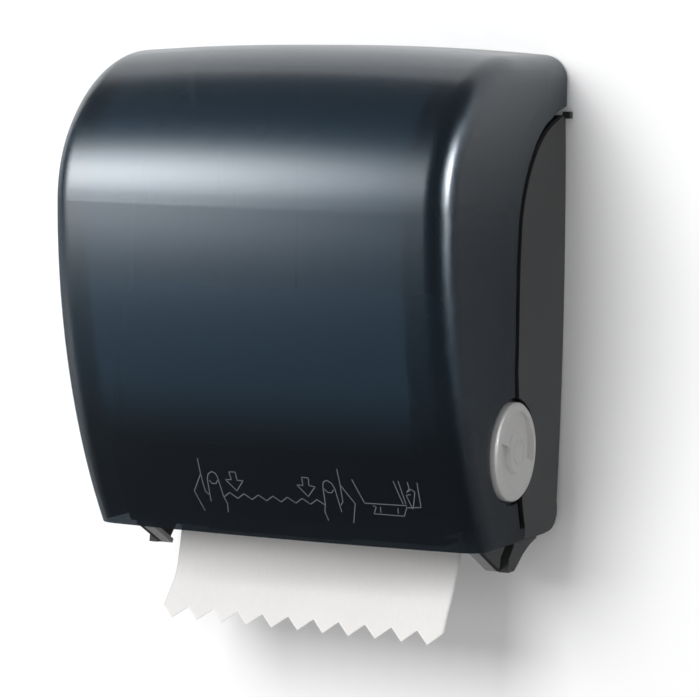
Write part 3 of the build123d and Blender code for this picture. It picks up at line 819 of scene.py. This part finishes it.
@dataclass
class Towel:
    """The free end of the towel: it hangs from the ramp, curls out and ends in the blade's zigzag.

    start is the depth and height of its upper edge. The three turn fields hold the left edge's value and
    then the right edge's: the curl in degrees, and how far down the sheet it begins and ends.
    """

    width: float = 0.203
    shift: float = -0.0015
    length: float = 0.074
    teeth: int = 11
    tooth: float = 0.009
    start: tuple = (-0.0596, -0.163)
    thickness: float = 0.00025
    rows: int = 40
    steps: int = 8
    lean: float = 12.5
    turn: tuple = (28.0, 17.0)
    turn_from: tuple = (0.030, 0.004)
    turn_to: tuple = (0.048, 0.032)
    wave: float = 0.0006
    waves: float = 3.3
    wave_phase: float = 0.8
    finish: TowelPaper = TowelPaper()

    def grid(self) -> np.ndarray:
        """Work out the sheet's points, row by row from the ramp down, each column as long as its tooth is.

        The slope from straight down is the lean plus a smooth step of the turn, and the sums of its sine
        and cosine along the run are the ways out and down. A sine across the sheet grows towards its end.

        Returns:
            Points as rows by columns by 3.
        """
        columns = self.teeth * self.steps + 1
        across = np.linspace(0.0, 1.0, columns)
        saw = np.abs((across * self.teeth) % 1.0 - 0.5) * 2.0
        reach = self.length - self.tooth * saw
        run = np.linspace(0.0, 1.0, self.rows + 1)[:, None] * reach[None, :]
        first, last = (a + (b - a) * across for a, b in (self.turn_from, self.turn_to))
        share = np.clip((run - first) / (last - first), 0.0, 1.0)
        turned = self.turn[0] + (self.turn[1] - self.turn[0]) * across
        angle = np.radians(self.lean + turned * share * share * (3.0 - 2.0 * share))
        step = np.diff(run, axis=0)
        middle = (angle[1:] + angle[:-1]) / 2
        out = np.concatenate((np.zeros((1, columns)), np.cumsum(np.sin(middle) * step, axis=0)))
        down = np.concatenate((np.zeros((1, columns)), np.cumsum(np.cos(middle) * step, axis=0)))
        sway = np.sin(across * 2 * np.pi * self.waves + self.wave_phase)
        depth = self.start[0] - out - self.wave * (run / self.length) * sway
        x = np.broadcast_to(self.shift + (across - 0.5) * self.width, run.shape)
        return np.stack((x, depth, self.start[1] - down), axis=-1)

    def build(self, frame: dict, palette: Palette) -> None:
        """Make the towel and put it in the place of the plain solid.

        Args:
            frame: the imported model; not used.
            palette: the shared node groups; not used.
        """
        towel = grid_object("towel_sheet", self.grid())
        thicken(towel, self.thickness)
        towel.data.materials.append(self.finish.build())
        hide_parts("towel_tail")
        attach(towel, "housing")
        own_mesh(towel)


@dataclass
class Web:
    """The paper inside: from the roll, under the pinch roller and over the drum to the exit.

    It is two sheets that meet under the pinch roller.
    roll, pinch and drum are the depth and height of the axes, and wrap_on_roll and leave are in degrees.
    give_above holds two heights and give_behind two depths; they are not used.
    """

    width: float = 0.203
    shift: float = -0.0015
    roll: tuple = (-0.114, -0.041)
    roll_radius: float = 0.0345
    pinch: tuple = (-0.1218, -0.0914)
    pinch_radius: float = 0.0165
    drum: tuple = (-0.0748, -0.1053)
    drum_radius: float = 0.0325
    wrap_on_roll: float = 26.0
    leave: float = 198.0
    end_height: float = -0.163
    thickness: float = 0.0003
    columns: int = 30
    step: float = 0.002
    roll_points: int = 12
    under_points: int = 20
    turn_points: int = 14
    over_points: int = 40
    give_above: tuple = (-0.053, -0.085)
    give_behind: tuple = (-0.097, -0.105)
    finish: TowelPaper = TowelPaper("WebPaper")

    @staticmethod
    def arc(centre: tuple, radius: float, first: float, last: float, count: int) -> np.ndarray:
        """Points of an arc about an axis along X, with angles from straight out from the wall upwards."""
        angle = np.radians(np.linspace(first, last, count))
        return np.stack((centre[0] - radius * np.cos(angle), centre[1] + radius * np.sin(angle)), axis=1)

    def paths(self) -> tuple:
        """Work out the profiles of the two sheets: the tangent of roll and pinch roller joins their arcs.

        The tangent touches both circles at one angle, at which the line between their centres, laid along
        the radius, is as long as the difference of the radii. The nip lies on the line of centres of pinch
        roller and drum.

        Returns:
            The upper and the lower profile, each as points of depth and height.
        """
        out, up = self.roll[0] - self.pinch[0], self.pinch[1] - self.roll[1]
        gap = float(np.hypot(out, up))
        lean = (self.roll_radius - self.pinch_radius) / gap
        tangent = np.degrees(np.arcsin(lean * up / gap + np.sqrt(1 - lean * lean) * out / gap))
        reach = np.hypot(self.drum[0] - self.pinch[0], self.pinch[1] - self.drum[1])
        nip = np.degrees(np.arcsin((self.pinch[1] - self.drum[1]) / reach))
        first = tangent + self.wrap_on_roll
        leaving = self.arc(self.roll, self.roll_radius, first, tangent, self.roll_points)
        under = self.arc(self.pinch, self.pinch_radius, tangent, -90.0, self.under_points)
        turn = self.arc(self.pinch, self.pinch_radius, -90.0, nip - 180.0, self.turn_points)
        over = self.arc(self.drum, self.drum_radius, nip, self.leave, self.over_points)[1:]
        slope = np.radians(self.leave)
        run = (over[-1, 1] - self.end_height) / -np.cos(slope)
        last = over[-1] + run * np.array((np.sin(slope), np.cos(slope)))
        upper = self.dense(np.concatenate((leaving, under)))
        return upper, self.dense(np.concatenate((turn, over, last[None, :])))

    def dense(self, path: np.ndarray) -> np.ndarray:
        """Lay the same profile out at even steps along its length.

        Args:
            path: points of depth and height.

        Returns:
            More points on the same line.
        """
        along = np.concatenate(((0.0,), np.cumsum(np.linalg.norm(np.diff(path, axis=0), axis=1))))
        even = np.linspace(0.0, along[-1], int(along[-1] / self.step) + 2)
        return np.stack([np.interp(even, along, path[:, k]) for k in (0, 1)], axis=1)

    def build(self, frame: dict, palette: Palette) -> None:
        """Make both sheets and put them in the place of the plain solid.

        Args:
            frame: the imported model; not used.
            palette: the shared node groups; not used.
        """
        paper = self.finish.build()
        x = self.shift + np.linspace(-0.5, 0.5, self.columns) * self.width
        for name, path in zip(("web_upper", "web_lower"), self.paths()):
            grid = np.empty((len(path), len(x), 3))
            grid[..., 0], grid[..., 1], grid[..., 2] = x[None, :], path[:, :1], path[:, 1:]
            sheet = grid_object(name, grid)
            thicken(sheet, self.thickness, offset=0.0)
            sheet.data.materials.append(paper)
            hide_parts("paper_web")
            if name == "web_upper":
                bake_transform(sheet)
            else:
                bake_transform(sheet)


@dataclass
class Pictograms:
    """Fine printed lines low on the cover: two hands, two arrows, a zigzag and the dispenser's corner.

    A ray from far in front finds the cover under each point of a line. The strokes are measured in
    millimetres from a point at centre along X and at base up Z.
    """

    centre: float = 0.0038
    base: float = -0.165
    line_width: float = 0.00055
    proud: float = 0.00007
    spacing: float = 0.0015
    shortest: float = 1e-9
    far: float = 1.0
    ink: Plastic = Plastic("PrintedLine", (0.13, 0.14, 0.15), 0.6, dust=0.0, grain_size=1500.0)

    @staticmethod
    def mirrored() -> list:
        """Draw the strokes that appear on the left and mirrored on the right.

        Returns:
            A list of corners for each stroke, in millimetres.
        """
        wrist = [(-49.0, 51.0), (-49.2, 40.6), (-56.8, 28.6), (-52.6, 15.4)]
        palm = [(-49.2, 40.6), (-48.6, 29.3), (-46.6, 26.9)]
        finger = [(-46.2, 22.3), (-45.0, 37.4), (-43.6, 41.0), (-40.6, 42.9), (-38.0, 41.8), (-37.0, 38.8),
                  (-36.0, 26.9), (-34.4, 21.6), (-35.6, 15.8)]
        nail = [(-43.9, 36.9), (-42.2, 34.8), (-39.4, 34.9), (-37.6, 37.2)]
        arrow = [(-28.0, 43.6), (-23.4, 43.8), (-23.2, 38.3), (-18.9, 38.4), (-25.2, 31.1), (-31.6, 38.1),
                 (-27.4, 38.5), (-28.0, 43.6)]
        return [wrist, palm, finger, nail, arrow]

    @staticmethod
    def single() -> list:
        """Draw the strokes that appear once.

        Returns:
            A list of corners for each stroke, in millimetres.
        """
        zigzag = [(-36.0 + 5.14 * k, 29.5 if k % 2 else 26.0) for k in range(15)]
        body = [(57.9, 44.8), (63.4, 29.5), (91.5, 29.8)]
        slot = [(68.7, 28.2), (70.7, 27.5), (68.2, 22.8), (88.3, 22.6), (91.6, 29.0)]
        drops = [[(73.6, 27.7), (73.0, 23.9)], [(85.2, 27.7), (84.7, 24.0)]]
        side = [[(85.7, 45.6), (89.4, 30.6)], [(89.0, 45.8), (91.3, 30.8)],
                [(101.4, 45.5), (100.9, 29.3), (91.9, 28.4)]]
        grip = [(95.0, 45.5), (95.5, 41.0), (93.1, 38.5), (96.6, 40.8), (98.8, 39.2), (97.3, 33.9),
                (95.2, 27.6), (94.0, 31.6), (92.7, 36.8), (95.8, 37.4)]
        return [zigzag, body, slot, grip] + drops + side

    def ribbon(self, stroke: list, cover: bpy.types.Object) -> tuple:
        """Make a flat ribbon along one stroke, laid on the cover.

        Its edges are half a line's width to both sides of points at even steps along the stroke.

        Args:
            stroke: corners in millimetres.
            cover: the object that it lies on.

        Returns:
            Vertices and faces.
        """
        line = np.array(stroke) * MILLIMETRE + (self.centre, self.base)
        points = [line[0]]
        for a, b in zip(line[:-1], line[1:]):
            count = max(int(np.ceil(np.linalg.norm(b - a) / self.spacing)), 1)
            points += [a + (b - a) * k / count for k in range(1, count + 1)]
        points = np.array(points)
        ahead = np.gradient(points, axis=0)
        ahead /= np.maximum(np.linalg.norm(ahead, axis=1), self.shortest)[:, None]
        aside = np.stack((-ahead[:, 1], ahead[:, 0]), axis=1) * self.line_width / 2
        edge = np.stack((points + aside, points - aside), axis=1).reshape(-1, 2)
        vertices = []
        for x, z in edge:
            hit, place, normal, _ = cover.ray_cast(Vector((x, -self.far, z)), Vector((0.0, 1.0, 0.0)))
            if not hit:
                raise ValueError(f"the stroke leaves the cover at {x:.4f}, {z:.4f}")
            vertices.append(place + normal * self.proud)
        first = np.arange(len(points) - 1)[:, None] * 2
        return vertices, (first + np.array((0, 1, 3, 2))).tolist()

    def build(self, frame: dict, palette: Palette) -> None:
        """Make all strokes as one piece on the cover.

        Args:
            frame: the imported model.
            palette: the shared node groups.
        """
        cover = frame["nodes"]["front_cover"]
        strokes = self.single()
        for stroke in self.mirrored():
            strokes += [stroke, [(-x, h) for x, h in stroke]]
        vertices, faces = [], []
        for stroke in strokes:
            more, quads = self.ribbon(stroke, cover)
            faces += [[len(vertices) + k for k in quad] for quad in quads]
            vertices += more
        mesh = bpy.data.meshes.new("pictograms")
        mesh.from_pydata(vertices, [], faces)
        mesh.update()
        piece = bpy.data.objects.new("pictograms", mesh)
        bpy.context.scene.collection.objects.link(piece)
        piece.data.materials.append(self.ink.build(palette))
        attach(piece, "cover")


def main() -> None:
    """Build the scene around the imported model."""
    logging.basicConfig(level=logging.INFO, format="%(name)s: %(message)s")
    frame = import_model()
    palette = Palette()
    Studio().build()
    for assembly in (Casing(), Mechanism(), Web(), Towel(), Pictograms()):
        assembly.build(frame, palette)
        LOG.info("built %s", type(assembly).__name__)


if __name__ == "__main__":
    main()
